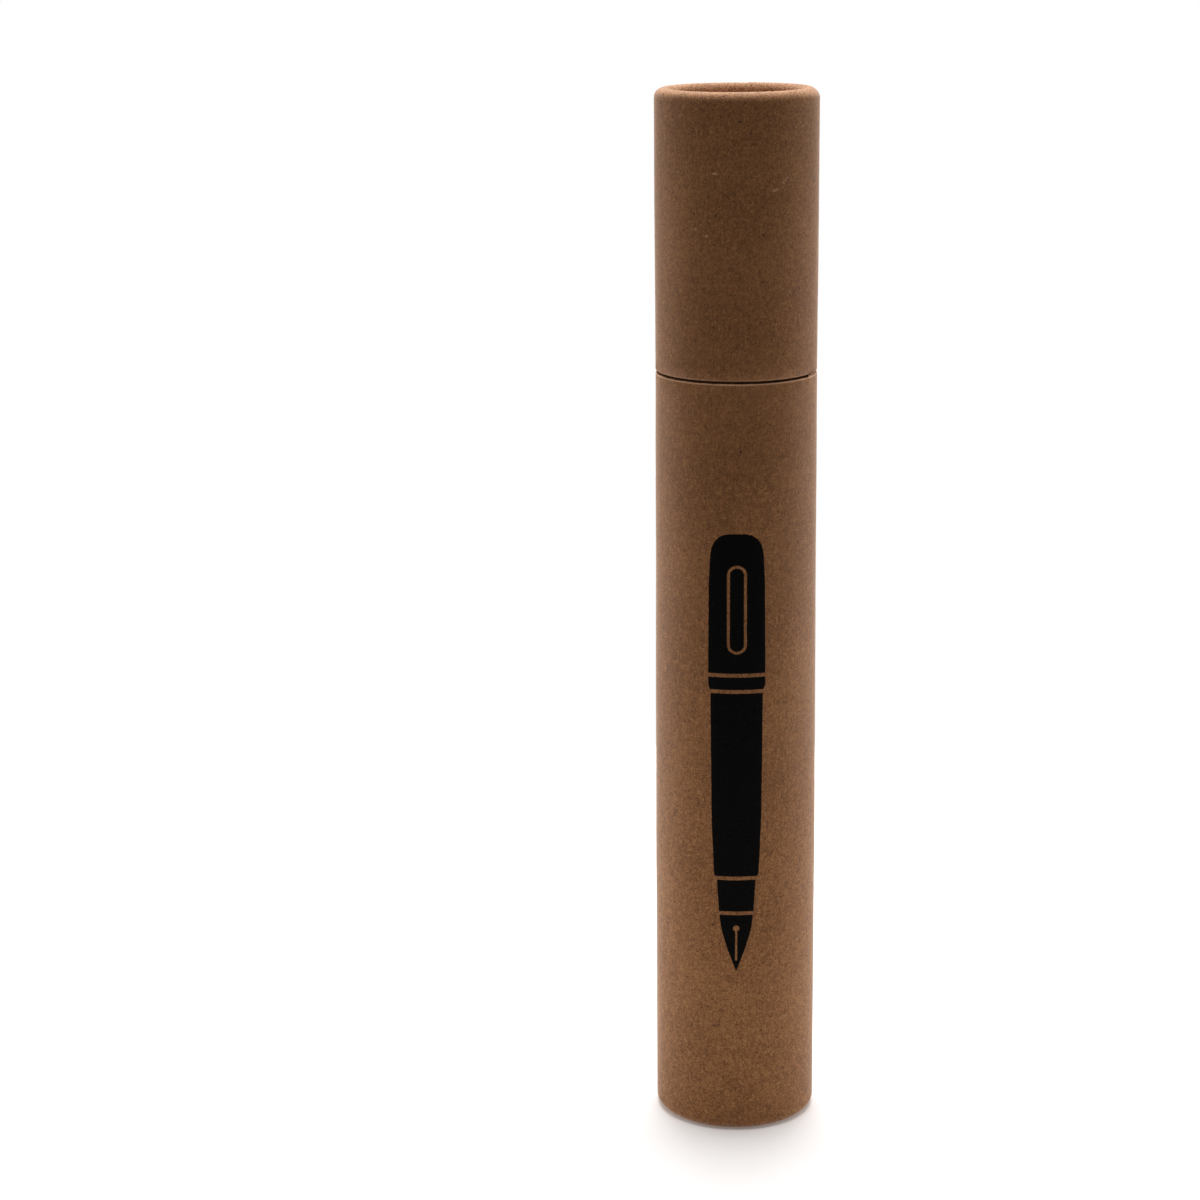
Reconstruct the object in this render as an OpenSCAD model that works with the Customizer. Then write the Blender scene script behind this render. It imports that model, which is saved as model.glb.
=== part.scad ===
// Cardboard tube for one pen, standing closed on its foot.
// Two wound tubes of one diameter meet at a seam: the body below and the cap above it. A thinner
// tube, glued inside the body, stands up as the neck that the cap slides over. The far end of each
// outer tube is rolled inwards over a flat disc, which leaves a round lip and a shallow recess.
// The origin is at the centre of the foot, on the surface that the tube stands on, with +Z up.

/* [Tube] */
// Outer diameter of the body and of the cap
tube_d = 25; // [22:0.5:40]
// Height of the closed tube, from the foot to the crest of the cap's rim
closed_h = 164.5; // [120:0.5:220]
// Length of the cap, from its open edge to the crest of its rim
cap_len = 43; // [34:0.5:80]
// Wall of the body's and the cap's tube
tube_wall = 1.2; // [0.8:0.1:1.8]

/* [Neck] */
// Wall of the inner tube that makes the neck
neck_wall = 1; // [0.6:0.1:1.6]
// Length of neck that stands above the body's edge
neck_rise = 22; // [10:1:30]

/* [Rolled rims] */
// Depth from the crest of a rim to its disc
recess = 4; // [3:0.5:6]
// Slit that stays open inside the roll, between the wall and its turned-in edge
fold_gap = 0.3; // [0.2:0.1:0.8]
// Width of the flat stretch along the crest of a rim
crest_land = 0.3; // [0.2:0.1:1]
// Thickness of the end discs
disc_t = 1.5; // [0.8:0.1:2.5]

/* [Fits] */
// Gap between the cap's edge and the body's edge when closed
seam_gap = 0.3; // [0.1:0.1:1]
// Radial clearance of the cap on the neck
cap_clearance = 0.08; // [0.04:0.01:0.3]
// Radial thickness of a glue line
glue_line = 0.05; // [0.03:0.01:0.08]
// Rounding of the cut edges
edge_round = 0.15; // [0.05:0.05:0.3]

/* [Hidden] */
$fn = 128;

kraft = [0.5, 0.35, 0.23];
inner_kraft = [0.56, 0.41, 0.28];

// Steps in each quarter turn of a profile's arcs
arc_steps = 6;

outer_r = tube_d / 2;
inner_r = outer_r - tube_wall;
lip_w = 2 * tube_wall + fold_gap;
lip_corner_r = (lip_w - crest_land) / 2;

body_len = closed_h - cap_len - seam_gap;

disc_r = inner_r - glue_line;
neck_r = inner_r - cap_clearance;
neck_z = recess + disc_t;
neck_len = body_len + neck_rise - neck_z;

// Points of an arc about [x, y], from one angle to another
function arc(x, y, r, from, to) =
    let (steps = ceil(abs(to - from) / 90 * arc_steps))
    [for (i = [0 : steps])
        let (a = from + (to - from) * i / steps)
        [x + r * cos(a), y + r * sin(a)]];

// Half section of an outer tube with its rim at the bottom and its cut edge at the top.
// It goes round the lip from outside, up the turned-in edge, down into the slit and up the bore.
function rolled_profile(len) = concat(
    arc(inner_r + edge_round, len - edge_round, edge_round, 180, 90),
    arc(outer_r - edge_round, len - edge_round, edge_round, 90, 0),
    arc(outer_r - lip_corner_r, lip_corner_r, lip_corner_r, 0, -90),
    arc(outer_r - lip_w + lip_corner_r, lip_corner_r, lip_corner_r, -90, -180),
    [[outer_r - lip_w, recess], [inner_r - fold_gap, recess]],
    arc(inner_r - fold_gap / 2, tube_wall + fold_gap / 2, fold_gap / 2, 180, 360)
);

// Half section of a plain tube with rounded cut edges
function plain_profile(r_in, r_out, len) = concat(
    arc(r_in + edge_round, edge_round, edge_round, 270, 180),
    arc(r_in + edge_round, len - edge_round, edge_round, 180, 90),
    arc(r_out - edge_round, len - edge_round, edge_round, 90, 0),
    arc(r_out - edge_round, edge_round, edge_round, 0, -90)
);

module rolled_tube(len) {
    rotate_extrude() polygon(rolled_profile(len));
}

module end_disc() {
    cylinder(r = disc_r, h = disc_t);
}

module body_tube() {
    color(kraft) rolled_tube(body_len);
}

module body_disc() {
    color(inner_kraft) translate([0, 0, recess]) end_disc();
}

module neck_tube() {
    color(inner_kraft)
        translate([0, 0, neck_z])
            rotate_extrude() polygon(plain_profile(neck_r - neck_wall, neck_r, neck_len));
}

module cap_tube() {
    color(kraft) translate([0, 0, closed_h]) mirror([0, 0, 1]) rolled_tube(cap_len);
}

module cap_disc() {
    color(inner_kraft)
        translate([0, 0, closed_h - recess - disc_t]) end_disc();
}

body_tube();
body_disc();
neck_tube();
cap_tube();
cap_disc();
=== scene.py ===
import math

import bpy
from mathutils import Matrix, Vector, noise


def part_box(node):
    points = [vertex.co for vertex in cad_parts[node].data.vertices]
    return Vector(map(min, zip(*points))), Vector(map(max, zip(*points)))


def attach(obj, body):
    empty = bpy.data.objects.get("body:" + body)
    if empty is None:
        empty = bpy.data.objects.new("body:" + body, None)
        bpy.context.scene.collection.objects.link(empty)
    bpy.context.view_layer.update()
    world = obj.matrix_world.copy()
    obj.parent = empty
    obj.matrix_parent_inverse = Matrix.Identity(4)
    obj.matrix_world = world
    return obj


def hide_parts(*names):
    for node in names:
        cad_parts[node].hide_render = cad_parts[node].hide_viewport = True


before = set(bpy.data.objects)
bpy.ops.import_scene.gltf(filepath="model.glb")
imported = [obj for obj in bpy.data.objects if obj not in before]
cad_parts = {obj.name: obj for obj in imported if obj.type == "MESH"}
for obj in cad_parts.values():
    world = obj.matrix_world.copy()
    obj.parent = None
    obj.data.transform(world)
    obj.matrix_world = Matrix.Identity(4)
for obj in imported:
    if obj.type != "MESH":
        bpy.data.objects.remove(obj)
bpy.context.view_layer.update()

# Body tube
# Brown kraft paper wound several times round a mandrel and glued, so that the outermost ply ends
# in a straight lap up the back. The foot is rolled inwards over a die, and the paper that is
# turned in there puckers into fine pleats. The upper end is a plain cut that shows the plies.
MM = 0.001
outer_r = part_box("cap_tube")[1].x
body_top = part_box("body_tube")[1].z
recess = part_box("body_disc")[0].z
wall = 1.2 * MM
inner_r = outer_r - wall
fold_gap = 0.3 * MM
lip_width = 2 * wall + fold_gap
foot_round = 1.6 * MM
turn_in_round = 1.2 * MM
cut_round = 0.15 * MM
worn_round = 0.2 * MM
fold_round = 0.1 * MM
ply = 0.12 * MM
columns = 600
lap_width = 0.05 * MM
pleat_count = 66


def bend(centre, radius, start, end, steps):
    """Points of a bend in a half section as (distance from the axis, height), without the last."""
    angles = [math.radians(start + (end - start) * i / steps) for i in range(steps)]
    return [(centre[0] + radius * math.cos(a), centre[1] + radius * math.sin(a)) for a in angles]


def straight(start, end, steps):
    """Points along a straight stretch of a half section, without the last."""
    return [tuple(a + (b - a) * i / steps for a, b in zip(start, end)) for i in range(steps)]


def named(stretches):
    """Lists the points of a half section with the name of the stretch that each belongs to."""
    return [(point, name) for name, points in stretches for point in points]


def rolled_section(length, steps, corner):
    """Half section of a tube whose rim is rolled in at height 0 and whose cut edge is at length.

    It goes down the outside, round the lip, whose outer corner has a radius, up the turned-in
    edge, down into the slit and up the bore.
    """
    out_wall = outer_r - worn_round
    in_wall = inner_r + cut_round
    leg_in = outer_r - lip_width
    leg_out = inner_r - fold_gap
    leg_top = recess - fold_round
    turn_in = min(turn_in_round, lip_width - corner)
    slit = (inner_r - fold_gap / 2, wall + fold_gap / 2)
    end = length - cut_round
    worn_end = length - worn_round
    return named((
        ("cut_outside", bend((out_wall, worn_end), worn_round, 90, 0, 6)),
        ("wall", straight((outer_r, worn_end), (outer_r, corner), steps)),
        ("lip", bend((outer_r - corner, corner), corner, 0, -90, 10)),
        ("lip", bend((leg_in + turn_in, turn_in), turn_in, -90, -180, 10)),
        ("leg", straight((leg_in, turn_in), (leg_in, leg_top), 8)),
        ("leg_end", bend((leg_in + fold_round, leg_top), fold_round, 180, 90, 3)),
        ("leg_end", bend((leg_out - fold_round, leg_top), fold_round, 90, 0, 3)),
        ("slit", straight((leg_out, leg_top), (leg_out, slit[1]), 3)),
        ("slit", bend(slit, fold_gap / 2, 180, 360, 5)),
        ("bore", straight((inner_r, slit[1]), (inner_r, end), steps // 2)),
        ("cut_inside", bend((in_wall, end), cut_round, 180, 90, 4)),
        ("cut", straight((in_wall, length), (out_wall, length), 6)),
    ))


def pucker(around, along, seed):
    """Depth of the creases in the turned-in paper: 0 between them, up to about 1 in one."""
    angle = math.atan2(around.y, around.x)
    drift = noise.noise(2.5 * around + Vector((0, 0, seed + 0.3 * along)))
    jitter = noise.noise(11 * around + Vector((0, 0, seed + 20)))
    crease = math.exp(-((math.sin(pleat_count / 2 * angle + 3 * drift + 1.1 * jitter) / 0.3) ** 2))
    return crease * (0.65 + 0.9 * noise.noise(8 * around + Vector((0, 0, seed + 40))))


def paper_relief(name, point, angle, turn, along, seed):
    """How far in mm the paper stands off the plain half section."""
    height = point[1] / MM
    around = Vector((math.cos(angle), math.sin(angle), 0))
    swell = 0.04 * noise.noise(1.1 * around + Vector((0, 0, seed + height / 20)))
    swell += 0.018 * noise.noise(4 * around + Vector((0, 0, seed + height / 4))) - 0.015
    # the outer ply lies on its own beginning at the lap and is pressed flat further on
    step = math.exp(-turn / 0.1) * ply / MM
    if name == "wall":
        return swell - step
    if name == "lip":
        # how far round the roll the paper is: 0 where it leaves the wall and 1 where it turns up
        share = max(0.0, min(1.0, (outer_r - point[0]) / (lip_width - 0.4 * turn_in_round)))
        folded = 0.10 * share**1.5 * pucker(around, along, seed)
        return min(0.0, swell) * (1 - share) - folded - (1 - 0.7 * share) * step
    if name == "leg":
        return -0.10 * pucker(around, along, seed) - 0.3 * step
    if name == "bore":
        return -math.exp((turn - 1) / 0.1) * ply / MM
    if name.startswith("cut"):
        # the knife leaves a faintly wavy, fuzzed edge
        wave = 0.035 * noise.noise(9 * around + Vector((0, 0, seed + 60)))
        fuzz = 0.03 * noise.noise(34 * around + Vector((0, point[0] / MM, seed + 80)))
        return wave + fuzz - 0.05 - (0.7 * step if name == "cut_outside" else 0)
    return 0


def wind(name, section, length, lap_at, seed, place, shown, swollen=0.0, knocks=()):
    """Turns a half section into a wound tube, with its lap at an angle from the front.

    The map "sheet" holds each point's place on the unrolled paper in mm, and "OFBake" lays the
    stretches that are shown and the others side by side in one square. The roll holds the rim
    wider than the rest, by swollen in mm. A knock is the stretch, the angle, the spread and the
    height in mm of a place where an outer corner is pushed in or stands out.
    """
    points = [Vector(p) for p, _ in section]
    names = [n for _, n in section]
    count = len(points)
    normals = []
    for i in range(count):
        step = points[(i + 1) % count] - points[i - 1]
        normals.append(Vector((-step.y, step.x)).normalized())
    along = [0.0]
    for i in range(count):
        along.append(along[-1] + (points[(i + 1) % count] - points[i]).length / MM)
    full = 1 - lap_width / (2 * math.pi * outer_r)
    turns = [full * i / (columns - 1) for i in range(columns)] + [1.0]
    vertices = []
    for i in range(count):
        for t in turns[:-1]:
            angle = lap_at + 2 * math.pi * (t - 1)
            rise = paper_relief(names[i], points[i], angle, t / full, along[i], seed)
            for stretch, centre, spread, height in knocks:
                if names[i] == stretch:
                    # 1 in the middle of the outer bend, and 0 where it runs out
                    corner = 2 * max(0.0, normals[i].x) * abs(normals[i].y)
                    away = (angle - math.radians(centre)) / spread
                    rise += height * corner * math.exp(-(away**2))
            r, h = points[i] + rise * MM * normals[i]
            outward = max(0.0, (points[i].x - outer_r + lip_width) / lip_width)
            r += swollen * MM * outward * min(1.0, 1.6 * (1 - points[i].y / length))
            vertices.append(place(Vector((r * math.sin(angle), -r * math.cos(angle), h))))
    faces, sheet, baked, finish = [], [], [], []
    spans = {True: 0.0, False: 0.0}
    for i in range(count):
        spans[names[i] in shown] += along[i + 1] - along[i]
    used = {True: 0.0, False: 0.0}
    for i in range(count):
        seen = names[i] in shown
        below = (i + 1) % count
        rows = used[seen], used[seen] + (along[i + 1] - along[i]) / spans[seen]
        used[seen] = rows[1]
        left, width = (0.005, 0.73) if seen else (0.745, 0.25)
        for j in range(columns):
            beside = (j + 1) % columns
            ring, next_ring = i * columns, below * columns
            faces.append((ring + j, next_ring + j, next_ring + beside, ring + beside))
            for a, b in ((0, 0), (0, 1), (1, 1), (1, 0)):
                t = turns[j + a]
                sheet += [(lap_at + 2 * math.pi * (t - 1)) * outer_r / MM, length / MM - along[i + b]]
                baked += [left + width * t, 0.995 - 0.99 * rows[b]]
            # the knife's cuts and the step of the lap show the plies
            lapped = j == columns - 1 and names[i] in ("wall", "lip", "bore")
            finish.append(1 if lapped or names[i] in ("cut", "cut_inside") else 0)
    turned_over = place(Vector((0, 0, 1))).z < place(Vector((0, 0, 0))).z
    maps = {"sheet": sheet, "OFBake": baked}
    return paper_mesh(name, vertices, faces, maps, finish, turned_over)


def paper_mesh(name, vertices, faces, maps, finish, turned_over=False):
    """A smooth mesh object with its maps and one finish number for each face."""
    mesh = bpy.data.meshes.new(name)
    mesh.from_pydata(vertices, [], faces)
    for title, numbers in maps.items():
        mesh.uv_layers.new(name=title).data.foreach_set("uv", numbers)
    mesh.polygons.foreach_set("material_index", finish)
    mesh.polygons.foreach_set("use_smooth", [True] * len(faces))
    if turned_over:
        mesh.flip_normals()
    mesh.update()
    piece = bpy.data.objects.new(name, mesh)
    bpy.context.scene.collection.objects.link(piece)
    return piece


class Field:
    """A socket of a shader node. Arithmetic on it adds the Math nodes that work it out."""

    def __init__(self, socket):
        self.socket = socket

    def output(self, index):
        """Another output of the same node."""
        return Field(self.socket.node.outputs[index])

    def math(self, operation, first, second):
        """Adds one Math node."""
        node = self.socket.id_data.nodes.new("ShaderNodeMath")
        node.operation = operation
        join(node.inputs[0], first)
        join(node.inputs[1], second)
        return Field(node.outputs[0])

    def __add__(self, other):
        return self.math("ADD", self, other)

    def __radd__(self, other):
        return self.math("ADD", other, self)

    def __sub__(self, other):
        return self.math("SUBTRACT", self, other)

    def __rsub__(self, other):
        return self.math("SUBTRACT", other, self)

    def __mul__(self, other):
        return self.math("MULTIPLY", self, other)

    def __rmul__(self, other):
        return self.math("MULTIPLY", other, self)

    def __truediv__(self, other):
        return self.math("DIVIDE", self, other)

    def __pow__(self, other):
        return self.math("POWER", self, other)

    def __abs__(self):
        return self.math("ABSOLUTE", self, 0)


def join(socket, value):
    """Feeds a socket with a field, or sets it to a plain value."""
    if isinstance(value, Field):
        socket.id_data.links.new(value.socket, socket)
    else:
        socket.default_value = value


class Shading:
    """The node tree of a material or of the room, as it is filled."""

    def __init__(self, owner):
        owner.use_nodes = True
        self.owner = owner
        self.tree = owner.node_tree
        self.tree.nodes.clear()

    def node(self, kind, settings=None, sockets=None, output=0):
        """Adds a node with its settings first, then the values or links of its sockets."""
        node = self.tree.nodes.new(kind)
        for name, value in (settings or {}).items():
            if name == "stops":
                while len(node.color_ramp.elements) < len(value):
                    node.color_ramp.elements.new(1.0)
                for element, (position, colour) in zip(node.color_ramp.elements, value):
                    element.position = position
                    element.color = (*colour, 1)
            else:
                setattr(node, name, value)
        for key, value in (sockets or {}).items():
            join(node.inputs[key], value)
        return Field(node.outputs[output]) if node.outputs else None

    def vector(self, operation, *inputs):
        """Vector arithmetic on places."""
        return self.node("ShaderNodeVectorMath", {"operation": operation}, dict(enumerate(inputs)))

    def mix(self, share, first, second):
        """A colour between two colours."""
        first, second = [c if isinstance(c, Field) else (*c, 1) for c in (first, second)]
        return self.node("ShaderNodeMix", {"data_type": "RGBA"}, {0: share, 6: first, 7: second}, 2)

    def ease(self, field, low, high):
        """0 below low and 1 above high, with a smooth step between."""
        sockets = {"Value": field, "From Min": low, "From Max": high}
        return self.node("ShaderNodeMapRange", {"interpolation_type": "SMOOTHSTEP"}, sockets)

    def noise(self, place, scale, detail=2, distortion=0, output=0):
        """Cloudy noise about 0.5, with scale in clouds per mm."""
        sockets = {"Vector": place, "Scale": scale, "Detail": detail, "Distortion": distortion}
        return self.node("ShaderNodeTexNoise", None, sockets, output)

    def stretch(self, place, turn, size):
        """A place turned by an angle in degrees and counted in steps of a size in mm."""
        sockets = {"Vector": place, "Rotation": (0, 0, math.radians(turn)), "Scale": (*size, 1)}
        return self.node("ShaderNodeMapping", {"vector_type": "TEXTURE"}, sockets)

    def larger(self, first, second):
        """The larger of two fields."""
        return self.node("ShaderNodeMath", {"operation": "MAXIMUM"}, {0: first, 1: second})


def kraft_paper(name, seed, deep, mid, pale, contrast, cut_at, edge_wear_and_highlight, printed=None, scuffs=()):
    """Kraft paper: short pulp fibres every way, clouds where it is thin, and dark specks.

    contrast is how strongly the fibres show at the rim and at the cut edge. cut_at is the height in
    mm of the cut edge on the map. The next argument is how far the paper is painted pale along that
    edge: partly wear, and partly a painted highlight where the rounded edge catches light. printed is
    a function that gives how far black ink covers the paper. A scuff is the place, the turn in
    degrees and the length in mm of a pale scuffed mark.
    """
    paper = Shading(bpy.data.materials.new(name))
    sheet = paper.node("ShaderNodeUVMap", {"uv_map": "sheet"})
    height = paper.node("ShaderNodeSeparateXYZ", None, {0: sheet}).output(1)
    spot = paper.vector("ADD", sheet, (0, 0, seed))
    sway = paper.vector("SUBTRACT", paper.noise(spot, 1.3, 1, output=1), (0.5, 0.5, 0.5))
    bent = paper.vector("MULTIPLY_ADD", sway, (0.9, 0.9, 0), spot)

    def grains(place, count, low, high, present):
        """Round grains of a size between two radii in cells, count cells per mm, some left out."""
        cells = {"Vector": place, "Scale": count}
        distance = paper.node("ShaderNodeTexVoronoi", {"voronoi_dimensions": "2D"}, cells)
        chance = paper.node("ShaderNodeSeparateColor", None, {0: distance.output(1)})
        size = low + (high - low) * chance.output(1)
        kept = paper.node("ShaderNodeMath", {"operation": "LESS_THAN"}, {0: chance, 1: present})
        return (1 - paper.ease(distance / size, 0.5, 1.0)) * kept

    def fibres(turn, length, width, present):
        """Short fibres that lie near one direction."""
        return grains(paper.stretch(bent, turn, (length, width)), 1.0, 0.22, 0.42, present)

    def curls(offset, scale):
        """Thin bent fibres that lie on top here and there."""
        moved = paper.vector("ADD", spot, (offset, offset, 0))
        line = 1 - paper.ease(abs(paper.noise(moved, scale, 0, 0.7) - 0.5), 0.01, 0.06)
        return line * paper.ease(paper.noise(moved, 1.6, 1), 0.46, 0.54)

    clouds = paper.noise(spot, 0.07, 3)
    pulp = paper.noise(spot, 0.9, 2)
    upright = paper.stretch(spot, 0, (0.94, 1.14))
    worms = paper.noise(upright, 3.2, 1, 1.3)
    grit = paper.noise(upright, 5.5, 1)
    grain = paper.noise(paper.stretch(spot, 0, (0.28, 2.4)), 1.0, 2)
    pale_curls, dark_curls = curls(0.0, 2.0), curls(40.0, 2.3)
    fine = 0.9 * (worms - 0.5) + 1.45 * (grit - 0.5) + 0.62 * pale_curls - 0.55 * dark_curls
    at_rim, at_cut = contrast
    fine = fine * (at_rim + (at_cut - at_rim) / cut_at * height)
    tone = 0.48 + 0.5 * (clouds - 0.5) + 0.3 * (pulp - 0.5) + 0.5 * (grain - 0.5) + fine
    light_fibres = fibres(14, 1.6, 0.26, 0.16)
    for turn, length in ((62, 1.2), (97, 1.9), (151, 1.4)):
        light_fibres = paper.larger(light_fibres, fibres(turn, length, 0.24, 0.16))
    dark_fibres = fibres(84, 1.8, 0.24, 0.14)
    for turn, length in ((36, 1.3), (121, 1.5), (170, 1.1)):
        dark_fibres = paper.larger(dark_fibres, fibres(turn, length, 0.25, 0.14))
    large_specks = grains(bent, 0.28, 0.025, 0.06, 0.2)
    small_specks = grains(bent, 0.9, 0.04, 0.1, 0.035)
    specks = paper.larger(large_specks, small_specks)
    # the paper is painted paler where it is rolled in and along the cut edge: partly wear, and partly
    # a painted highlight for the grazing light that the crest and the rounded edge catch
    # over the roll of the rim the pale paint is a painted highlight where the crest catches grazing
    # light, with some wear
    rolled = 0.5 * (1 - paper.ease(height, -0.4, 1.6)) * paper.ease(height, -7.0, -4.0)
    # along the cut edge the pale paint is a painted highlight where the rounded edge catches light,
    # with some wear
    cut = edge_wear_and_highlight * paper.ease(height, cut_at - 0.42, cut_at - 0.32) * (0.7 + 0.6 * (worms - 0.3))
    wear_and_highlight = rolled * paper.ease(grit + worms, 0.75, 1.1) + cut
    scuff_width = 0.52
    for place, turn, length in scuffs:
        sockets = {
            "Vector": sheet,
            "Location": (*place, 0),
            "Rotation": (0, 0, math.radians(turn)),
            "Scale": (length / 2, scuff_width / 2, 1),
        }
        mark = paper.node("ShaderNodeMapping", {"vector_type": "TEXTURE"}, sockets)
        reach = paper.vector("LENGTH", mark).output(1)
        scuff = (1 - paper.ease(reach, 0.5, 1.0)) * paper.ease(worms, 0.46, 0.54)
        wear_and_highlight = paper.larger(wear_and_highlight, 0.5 * scuff)
    stops = ((0.1, deep), (0.5, mid), (0.9, pale))
    colour = paper.node("ShaderNodeValToRGB", {"stops": stops}, {0: tone})
    colour = paper.mix(0.30 * light_fibres, colour, tuple(1.6 * c + 0.01 for c in mid))
    colour = paper.mix(0.4 * dark_fibres, colour, tuple(0.35 * c for c in deep))
    colour = paper.mix(0.8 * specks, colour, tuple(0.12 * c for c in deep))
    # the pale colour of the worn places and of the painted highlight on the crest and along the cut
    # edge
    colour = paper.mix(wear_and_highlight, colour, tuple(1.5 * c + 0.12 for c in pale))
    relief = 0.3 * pulp + 0.5 * worms + 0.3 * grit + 0.35 * light_fibres + 0.5 * pale_curls
    roughness = 0.78 + 0.25 * (pulp - 0.5)
    sockets = {"Strength": 0.6, "Distance": 0.03 * MM, "Height": relief}
    normal = paper.node("ShaderNodeBump", None, sockets)
    sockets = {
        "Base Color": colour,
        "Roughness": roughness,
        "IOR": 1.35,
        "Normal": normal,
        "Sheen Weight": 0.3,
        "Sheen Roughness": 0.3,
        "Sheen Tint": (1.0, 0.84, 0.68, 1),
    }
    surface = paper.node("ShaderNodeBsdfPrincipled", None, sockets)
    if printed:
        black = (0.002, 0.002, 0.002, 1)
        sockets = {"Base Color": black, "Roughness": 0.7, "IOR": 1.12, "Normal": normal}
        ink = paper.node("ShaderNodeBsdfPrincipled", None, sockets)
        sockets = {0: printed(paper, sheet), 1: surface, 2: ink}
        surface = paper.node("ShaderNodeMixShader", None, sockets)
    paper.node("ShaderNodeOutputMaterial", None, {"Surface": surface})
    return paper.owner


def pen_print(paper, sheet):
    """A plain fountain pen, nib down, in solid black on the front of the tube.

    Its outline is a list of half widths in mm at heights in mm. Bare lines part the nib, the grip,
    the barrel, a ring and the cap, and draw the nib's slit and the clip.
    """
    foot, head = 27.0, 98.0
    outline = (
        (27.0, 0.0), (28.4, 0.5), (31.0, 1.45), (34.0, 2.3), (36.8, 2.7), (42.4, 3.05), (43.2, 3.5),
        (52.0, 3.9), (71.0, 4.1), (73.0, 4.1), (74.0, 4.5), (90.0, 4.4), (94.4, 4.2), (95.6, 4.0),
        (96.4, 3.7), (97.0, 3.3), (97.5, 2.7), (97.8, 2.1), (98.0, 1.2),
    )
    edge = paper.noise(sheet, 3.0, 2) - 0.5
    place = paper.node("ShaderNodeSeparateXYZ", None, {0: sheet})
    across, height = abs(place - 0.2) + 0.14 * edge, place.output(1) + 0.12 * edge
    widest = 5
    stops = [((h - foot) / (head - foot), (w / widest,) * 3) for h, w in outline]
    share = (height - foot) / (head - foot)
    half_width = widest * paper.node("ShaderNodeValToRGB", {"stops": stops}, {0: share})
    ink = paper.ease(half_width - across, -0.03, 0.07)
    ink = ink * paper.ease(height, foot, foot + 0.1) * (1 - paper.ease(height, head - 0.1, head))

    def line(distance, half):
        """A bare line of a half width about a distance of 0."""
        return 1 - paper.ease(abs(distance), half - 0.05, half + 0.05)

    for gap in (36.8, 42.6, 73.0, 75.6):
        ink = ink * (1 - line(height - gap, 0.3))
    slit = line(across, 0.16) * line(height - 31.5, 2.6)
    vent = (across * across + (height - 34.3) ** 2) ** 0.5
    below, above = paper.larger(80.5 - height, 0), paper.larger(height - 91.5, 0)
    clip = (across * across + (below + above) ** 2) ** 0.5
    ink = ink * (1 - slit) * (1 - line(vent, 0.5)) * (1 - line(clip - 1.3, 0.22))
    # thin spots where the ink has sunk between the fibres
    return ink * (1 - 0.1 * paper.ease(paper.noise(sheet, 4.0, 2), 0.62, 0.74))


def board_edge(name, first_r, deep, mid, pale):
    """Cut board: the plies show as fine pale rings with darker glue between them."""
    board = Shading(bpy.data.materials.new(name))
    place = board.node("ShaderNodeTexCoord", None, None, 3)
    spot = board.vector("MULTIPLY", place, (1 / MM, 1 / MM, 1 / MM))
    axes = board.node("ShaderNodeSeparateXYZ", None, {0: spot})
    x, y = axes, axes.output(1)
    wander = board.noise(spot, 1.1, 2) - 0.5
    ply_shown = 1.6 * ply / MM
    plies = ((x * x + y * y) ** 0.5 + 0.12 * wander - first_r / MM) / ply_shown
    place_in_ply = board.node("ShaderNodeMath", {"operation": "FRACT"}, {0: plies})
    glue = board.ease(place_in_ply, 0.0, 0.25) * (1 - board.ease(place_in_ply, 0.75, 1.0))
    grit = board.noise(spot, 6.0, 3)
    tone = 0.15 + 0.4 * glue + 0.9 * (grit - 0.5)
    stops = ((0.0, deep), (0.4, mid), (0.9, pale))
    colour = board.node("ShaderNodeValToRGB", {"stops": stops}, {0: tone})
    sockets = {"Strength": 0.6, "Distance": 0.03 * MM, "Height": 0.6 * glue + 0.7 * grit}
    normal = board.node("ShaderNodeBump", None, sockets)
    sockets = {"Base Color": colour, "Roughness": 0.88, "IOR": 1.35, "Normal": normal}
    surface = board.node("ShaderNodeBsdfPrincipled", None, sockets)
    board.node("ShaderNodeOutputMaterial", None, {"Surface": surface})
    return board.owner


def as_it_is(point):
    """The body's rim is at the bottom, so its section is used as it is."""
    return point


brown = ((0.135, 0.052, 0.0145), (0.222, 0.092, 0.030), (0.340, 0.157, 0.057))
board_cut = ((0.16, 0.075, 0.03), (0.26, 0.14, 0.065), (0.38, 0.24, 0.13))
shown_outside = ("cut_outside", "wall", "lip", "leg")
foot_flare = 0.24
body = wind(
    "kraft_body",
    rolled_section(body_top, 48, foot_round),
    body_top,
    lap_at=math.radians(188),
    seed=3.0,
    place=as_it_is,
    shown=shown_outside,
    swollen=foot_flare,
    knocks=(("cut_outside", 65, 0.05, 0.22), ("cut_outside", 71, 0.04, 0.12)),
)
body_paper = kraft_paper(
    "outer_kraft_body",
    11.0,
    *brown,
    contrast=(1.02, 0.58),
    cut_at=body_top / MM,
    # the cut edge at the seam is painted pale: some wear and a painted highlight
    edge_wear_and_highlight=1.0,
    printed=pen_print,
)
edge_board = board_edge("cut_board", inner_r, *board_cut)
body.data.materials.append(body_paper)
body.data.materials.append(edge_board)
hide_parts("body_tube")
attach(body, "base")

# Body disc
# A disc of plain kraft board that closes the foot. It is pressed in from inside until it sits on
# the turned-in edge, and glue holds it there. The board is faintly dished.
disc_low, disc_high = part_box("body_disc")


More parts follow.
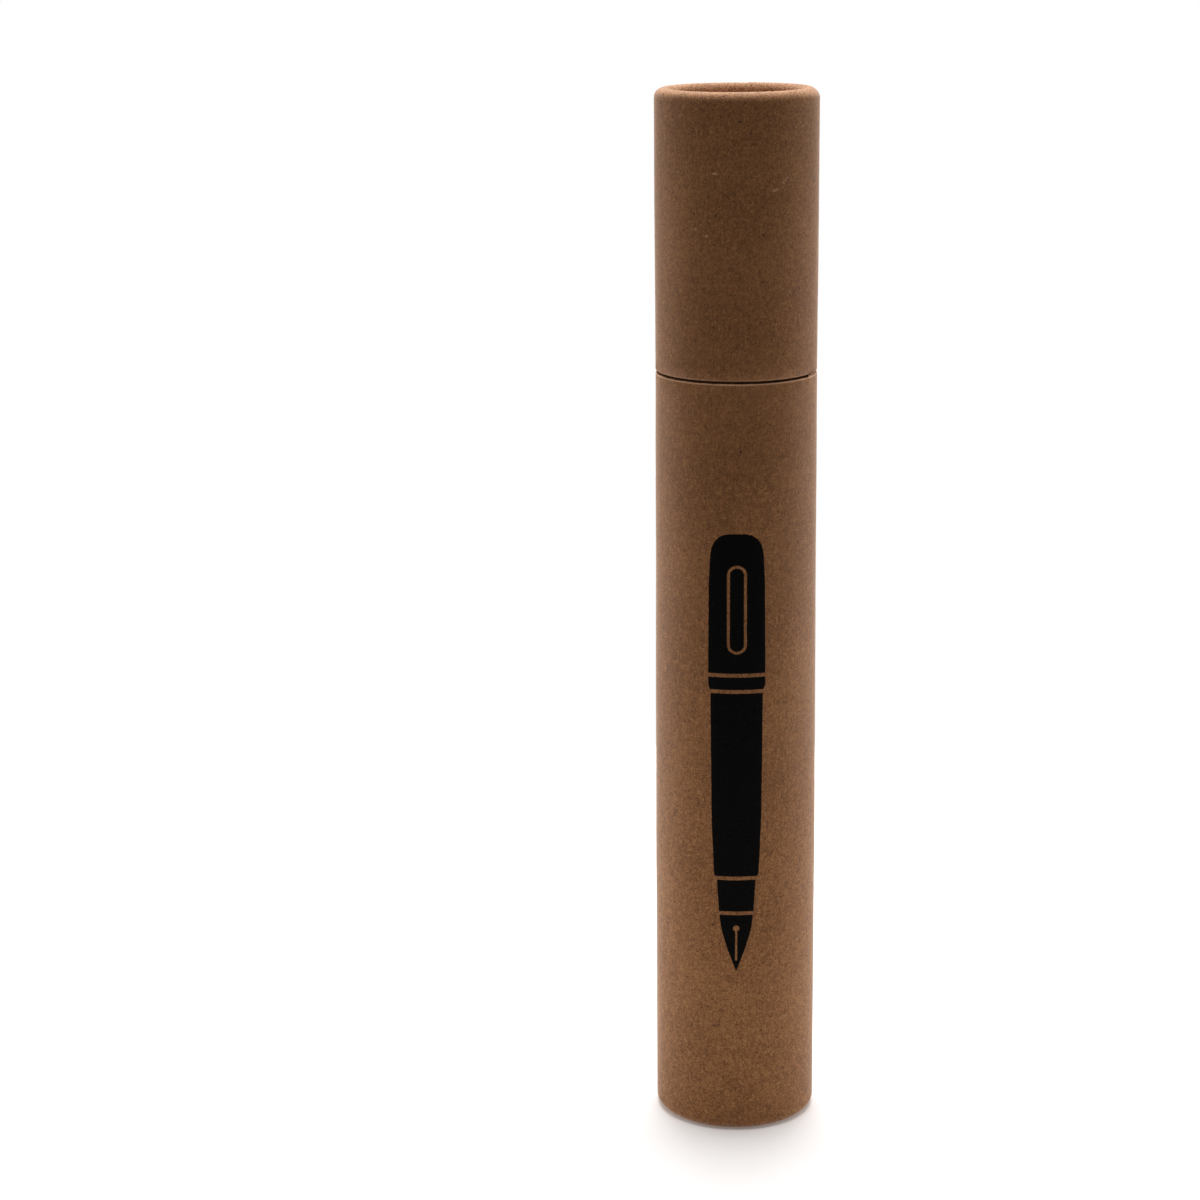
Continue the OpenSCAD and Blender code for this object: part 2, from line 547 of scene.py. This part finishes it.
def press_disc(name, bottom, top, seed):
    """A board disc with rounded cut edges and a slight dish in the face that shows."""
    glue_line = 0.05 * MM
    radius = inner_r - glue_line
    middle = (bottom + top) / 2
    half = (top - bottom) / 2
    flat_steps = 14
    rings = [(radius * i / flat_steps, half) for i in range(1, flat_steps)]
    for in_by, down_by in ((0.15, 0.0), (0.05, 0.05), (0.0, 0.15)):
        rings.append((radius - in_by * MM, half - down_by * MM))
    rings += [(r, -h) for r, h in reversed(rings)]
    spokes = 180
    vertices, sheet, faces = [], [], []
    for r, h in rings:
        for j in range(spokes):
            angle = 2 * math.pi * j / spokes
            flat = Vector((r * math.cos(angle), r * math.sin(angle), 0))
            dish = 0.12 * max(0.0, 1 - (r / radius) ** 2)
            dish += 0.03 * noise.noise(flat / (5 * MM) + Vector((0, 0, seed + h / MM)))
            sunk = math.copysign(max(0.0, dish) * MM, h)
            vertices.append(flat + Vector((0, 0, middle + h - sunk)))
    for i in range(len(rings) - 1):
        for j in range(spokes):
            beside = (j + 1) % spokes
            ring, next_ring = i * spokes, (i + 1) * spokes
            faces.append((ring + j, next_ring + j, next_ring + beside, ring + beside))
    last = (len(rings) - 1) * spokes
    for ring, sign in ((0, 1), (last, -1)):
        centre = len(vertices)
        vertices.append(Vector((0, 0, middle + sign * (half - 0.12 * MM))))
        for j in range(spokes):
            pair = (ring + j, ring + (j + 1) % spokes)
            faces.append((centre, *(pair if sign > 0 else pair[::-1])))
    # the two faces lie side by side on the map, clear of the heights where the paper is painted pale
    # for wear and highlight
    for face in faces:
        for v in face:
            x, y, z = vertices[v] / MM
            sheet += [x + (30 if z < middle / MM else 0), y + 40]
    # the rounded edge shows the plies
    edge_rings = range(flat_steps - 1, len(rings) - flat_steps - 1)
    finish = [1 if len(f) == 4 and f[0] // spokes in edge_rings else 0 for f in faces]
    return paper_mesh(name, vertices, faces, {"sheet": sheet}, finish)


board_colours = ((0.20, 0.098, 0.042), (0.27, 0.14, 0.064), (0.35, 0.195, 0.098))
even_contrast = (0.8, 0.8)
no_cut = 999.0
board_face = kraft_paper("inner_kraft_disc", 83.0, *board_colours, even_contrast, no_cut, edge_wear_and_highlight=0.0)
body_disc = press_disc("kraft_body_disc", disc_low.z, disc_high.z, 5.0)
body_disc.data.materials.append(board_face)
body_disc.data.materials.append(edge_board)
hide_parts("body_disc")
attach(body_disc, "base")

# Neck tube
# A thinner tube of paler kraft, wound in the same way and cut plain at both ends. It is glued
# inside the body and stands up out of it, and the cap slides over it.
neck_low, neck_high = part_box("neck_tube")
neck_r = neck_high.x
neck_wall = 1.0 * MM


def plain_section(first_r, last_r, length, steps):
    """Half section of a plain tube from height 0 to length, with worn cut edges."""
    inside, outside = first_r + cut_round, last_r - cut_round
    low, high = cut_round, length - cut_round
    return named((
        ("cut_outside", bend((outside, high), cut_round, 90, 0, 4)),
        ("wall", straight((last_r, high), (last_r, low), steps)),
        ("cut_outside", bend((outside, low), cut_round, 0, -90, 4)),
        ("cut", straight((outside, 0), (inside, 0), 5)),
        ("cut_inside", bend((inside, low), cut_round, -90, -180, 4)),
        ("bore", straight((first_r, low), (first_r, high), steps)),
        ("cut_inside", bend((inside, high), cut_round, 180, 90, 4)),
        ("cut", straight((inside, length), (outside, length), 5)),
    ))


def onto_disc(point):
    """The neck stands on the disc in the foot."""
    return point + Vector((0, 0, neck_low.z))


neck_length = neck_high.z - neck_low.z
neck = wind(
    "kraft_neck",
    plain_section(neck_r - neck_wall, neck_r, neck_length, 40),
    neck_length,
    lap_at=math.radians(214),
    seed=31.0,
    place=onto_disc,
    shown=("wall",),
)
neck_paper = kraft_paper(
    "inner_kraft_neck",
    29.0,
    *board_colours,
    even_contrast,
    cut_at=neck_length / MM,
    # the cut edge is painted a little pale: some wear and a painted highlight
    edge_wear_and_highlight=0.3,
)
neck.data.materials.append(neck_paper)
neck.data.materials.append(edge_board)
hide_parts("neck_tube")
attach(neck, "base")

# Cap tube
# A shorter length of the same wound tube as the body. Its rim at the top is rolled in the same
# way, and its lower end is a plain cut that meets the body's at the seam.
rim_round = 1.4 * MM
cap_low, cap_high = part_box("cap_tube")
cap_length = cap_high.z - cap_low.z


def upside_down(point):
    """The cap's rim is at the top, so its section is turned over."""
    return Vector((point.x, point.y, cap_high.z - point.z))


rim_flare = 0.08
cap = wind(
    "kraft_cap",
    rolled_section(cap_length, 24, rim_round),
    cap_length,
    lap_at=math.radians(171),
    seed=9.0,
    place=upside_down,
    shown=shown_outside,
    swollen=rim_flare,
    knocks=(("lip", 78, 0.5, -0.2), ("cut_outside", 76, 0.14, 0.1)),
)
cap_scuffs = (
    ((7.8, 12.9), -42, 2.6),
    ((6.0, 14.3), -14, 2.4),
    ((-3.4, 11.7), 10, 1.4),
    ((-6.4, 20.1), -20, 1.3),
    ((-4.5, 21.0), -30, 1.2),
)
cap_paper = kraft_paper(
    "outer_kraft_cap",
    57.0,
    *brown,
    contrast=(0.7, 0.55),
    cut_at=cap_length / MM,
    # the cut edge at the seam is painted a little pale: some wear and a painted highlight
    edge_wear_and_highlight=0.3,
    scuffs=cap_scuffs,
)
cap.data.materials.append(cap_paper)
cap.data.materials.append(edge_board)
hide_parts("cap_tube")
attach(cap, "cap")

# Frayed paper
# Where the cap's edge was knocked, on the right, the cut frayed: a few curled shreds of paper stick
# out below the edge, over the seam.
# Each shred is its place in degrees, and its length, drop and bow in mm.
shreds = (
    (60.5, 1.1, 0.30, 0.10),
    (62.8, 1.5, 0.16, 0.22),
    (64.6, 1.2, 0.34, 0.05),
    (66.6, 1.0, 0.10, 0.26),
    (68.8, 1.4, 0.26, 0.14),
    (70.6, 0.8, 0.08, 0.20),
)
shred_width = 0.16 * MM
shred_steps = 8
vertices, faces, sheet = [], [], []
for degrees, length, drop, bow in shreds:
    first = len(vertices)
    for i in range(shred_steps + 1):
        share = i / shred_steps
        angle = math.radians(degrees) + length * MM * share / outer_r
        middle = cap_low.z + 0.12 * MM - drop * MM * math.sin(math.pi * share) * (0.5 + share)
        reach = outer_r + (0.02 + bow * math.sin(math.pi * share) * 0.5) * MM
        half = shred_width / 2 * math.sin(math.pi * (0.12 + 0.76 * share))
        for out, rise in ((0.03, -half), (0.03, half), (-0.03, half), (-0.03, -half)):
            r = reach + out * MM
            vertices.append((r * math.sin(angle), -r * math.cos(angle), middle + rise))
            # the outer and the inner side lie apart on the map
            apart = 30 if out > 0 else -30
            sheet.append((degrees + share * length, 10 + rise / MM + apart))
    for i in range(shred_steps):
        ring = first + 4 * i
        for a in range(4):
            b = (a + 1) % 4
            faces.append((ring + a, ring + 4 + a, ring + 4 + b, ring + b))
    last = first + 4 * shred_steps
    faces.append((first, first + 1, first + 2, first + 3))
    faces.append((last + 3, last + 2, last + 1, last))
spots = [c for face in faces for v in face for c in sheet[v]]
frayed = paper_mesh("kraft_shreds", vertices, faces, {"sheet": spots}, [0] * len(faces))
frayed_paper = kraft_paper("frayed_kraft", 91.0, *board_colours, even_contrast, no_cut, edge_wear_and_highlight=0.0)
frayed.data.materials.append(frayed_paper)
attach(frayed, "cap")

# Cap disc
# The same board disc as in the foot, pressed into the cap from inside until it sits on the
# turned-in edge. It closes the upper end of the tube, at the bottom of a shallow recess.
cap_disc_low, cap_disc_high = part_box("cap_disc")
cap_disc = press_disc("kraft_cap_disc", cap_disc_low.z, cap_disc_high.z, 17.0)
cap_disc.data.materials.append(board_face)
cap_disc.data.materials.append(edge_board)
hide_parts("cap_disc")
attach(cap_disc, "cap")

# Table
# A round table top of matt white. It is given a faint glow of its own, painted light that keeps the
# shade close under the tube's rounded foot from going quite dark.
table_r = 0.20
rim_count = 96
circle = [2 * math.pi * i / rim_count for i in range(rim_count)]
edge = [(table_r * math.cos(a), table_r * math.sin(a), 0) for a in circle]
table_mesh = bpy.data.meshes.new("table")
table_mesh.from_pydata(edge, [], [tuple(range(rim_count))])
table = bpy.data.objects.new("table", table_mesh)
bpy.context.scene.collection.objects.link(table)
white = Shading(bpy.data.materials.new("white_table"))
sockets = {
    "Base Color": (0.776, 0.766, 0.762, 1),
    "Roughness": 1.0,
    "Specular IOR Level": 0.0,
    # the glow is painted light that lifts the shade under the foot, and its warm tint warms that
    # shade
    "Emission Color": (1.0, 0.88, 0.82, 1),
    "Emission Strength": 0.13,
}
matt = white.node("ShaderNodeBsdfPrincipled", None, sockets)
white.node("ShaderNodeOutputMaterial", None, {"Surface": matt})
table.data.materials.append(white.owner)

# Light
# The room is bright behind the tube and dim on the camera's side. A long soft lamp hangs above the
# tube and reaches back behind it, and two small ones stand low on its left and right.
world = bpy.data.worlds.new("room")
bpy.context.scene.world = world
room = Shading(world)
direction = room.node("ShaderNodeTexCoord", None, None, 0)
axes = room.node("ShaderNodeSeparateXYZ", None, {0: direction})
to_back, upward = axes.output(1), axes.output(2)
behind = room.ease(to_back, 0.1, 0.65) * (1 - 0.35 * room.ease(to_back, 0.7, 1.0))
glow = (0.20 + 1.6 * behind) * room.ease(upward, -0.25, 0.05)
seen = room.node("ShaderNodeLightPath")
strength = glow + (1 - glow) * seen
backdrop = room.node("ShaderNodeBackground", None, {"Color": (1, 1, 1, 1), "Strength": strength})
room.node("ShaderNodeOutputWorld", None, {"Surface": backdrop})

for name, spot, size, watts in (
    ("top_lamp", (0, 0.13, 0.60), (0.32, 0.62), 4.9),
    ("left_lamp", (-0.25, 0.10, 0.02), (0.2, 0.1), 0.45),
    ("right_lamp", (0.25, 0.10, 0.02), (0.2, 0.1), 0.45),
):
    lamp_data = bpy.data.lights.new(name, "AREA")
    lamp_data.shape = "RECTANGLE"
    lamp_data.size, lamp_data.size_y = size
    lamp_data.energy = watts
    lamp = bpy.data.objects.new(name, lamp_data)
    lamp.location = spot
    aim = Vector((0, 0, 0.05)) - Vector(spot)
    lamp.rotation_euler = aim.to_track_quat("-Z", "Y").to_euler()
    lamp.visible_camera = False
    bpy.context.scene.collection.objects.link(lamp)

# Camera
# It stands a little higher than the rim and looks down on the tube. Its yaw and roll put the tube
# right of the middle of the picture, a touch off upright.
camera_data = bpy.data.cameras.new("camera")
camera_data.lens = 86.156
camera_data.sensor_width = 36
camera = bpy.data.objects.new("camera", camera_data)
distance = 440.22 * MM
stand = 194.35 * MM
yaw, pitch, roll = math.radians(2.787), math.radians(13.987), math.radians(-0.546)
level = Vector((-math.sin(yaw), math.cos(yaw), 0))
forward = math.cos(pitch) * level - math.sin(pitch) * Vector((0, 0, 1))
right = Vector((math.cos(yaw), math.sin(yaw), 0))
up = right.cross(forward)
side = math.cos(roll) * right + math.sin(roll) * up
top = math.cos(roll) * up - math.sin(roll) * right
turn = Matrix((side, top, -forward)).transposed().to_4x4()
camera.matrix_world = Matrix.Translation((0, -distance, stand)) @ turn
bpy.context.scene.collection.objects.link(camera)
bpy.context.scene.camera = camera
bpy.context.scene.view_settings.view_transform = "Standard"
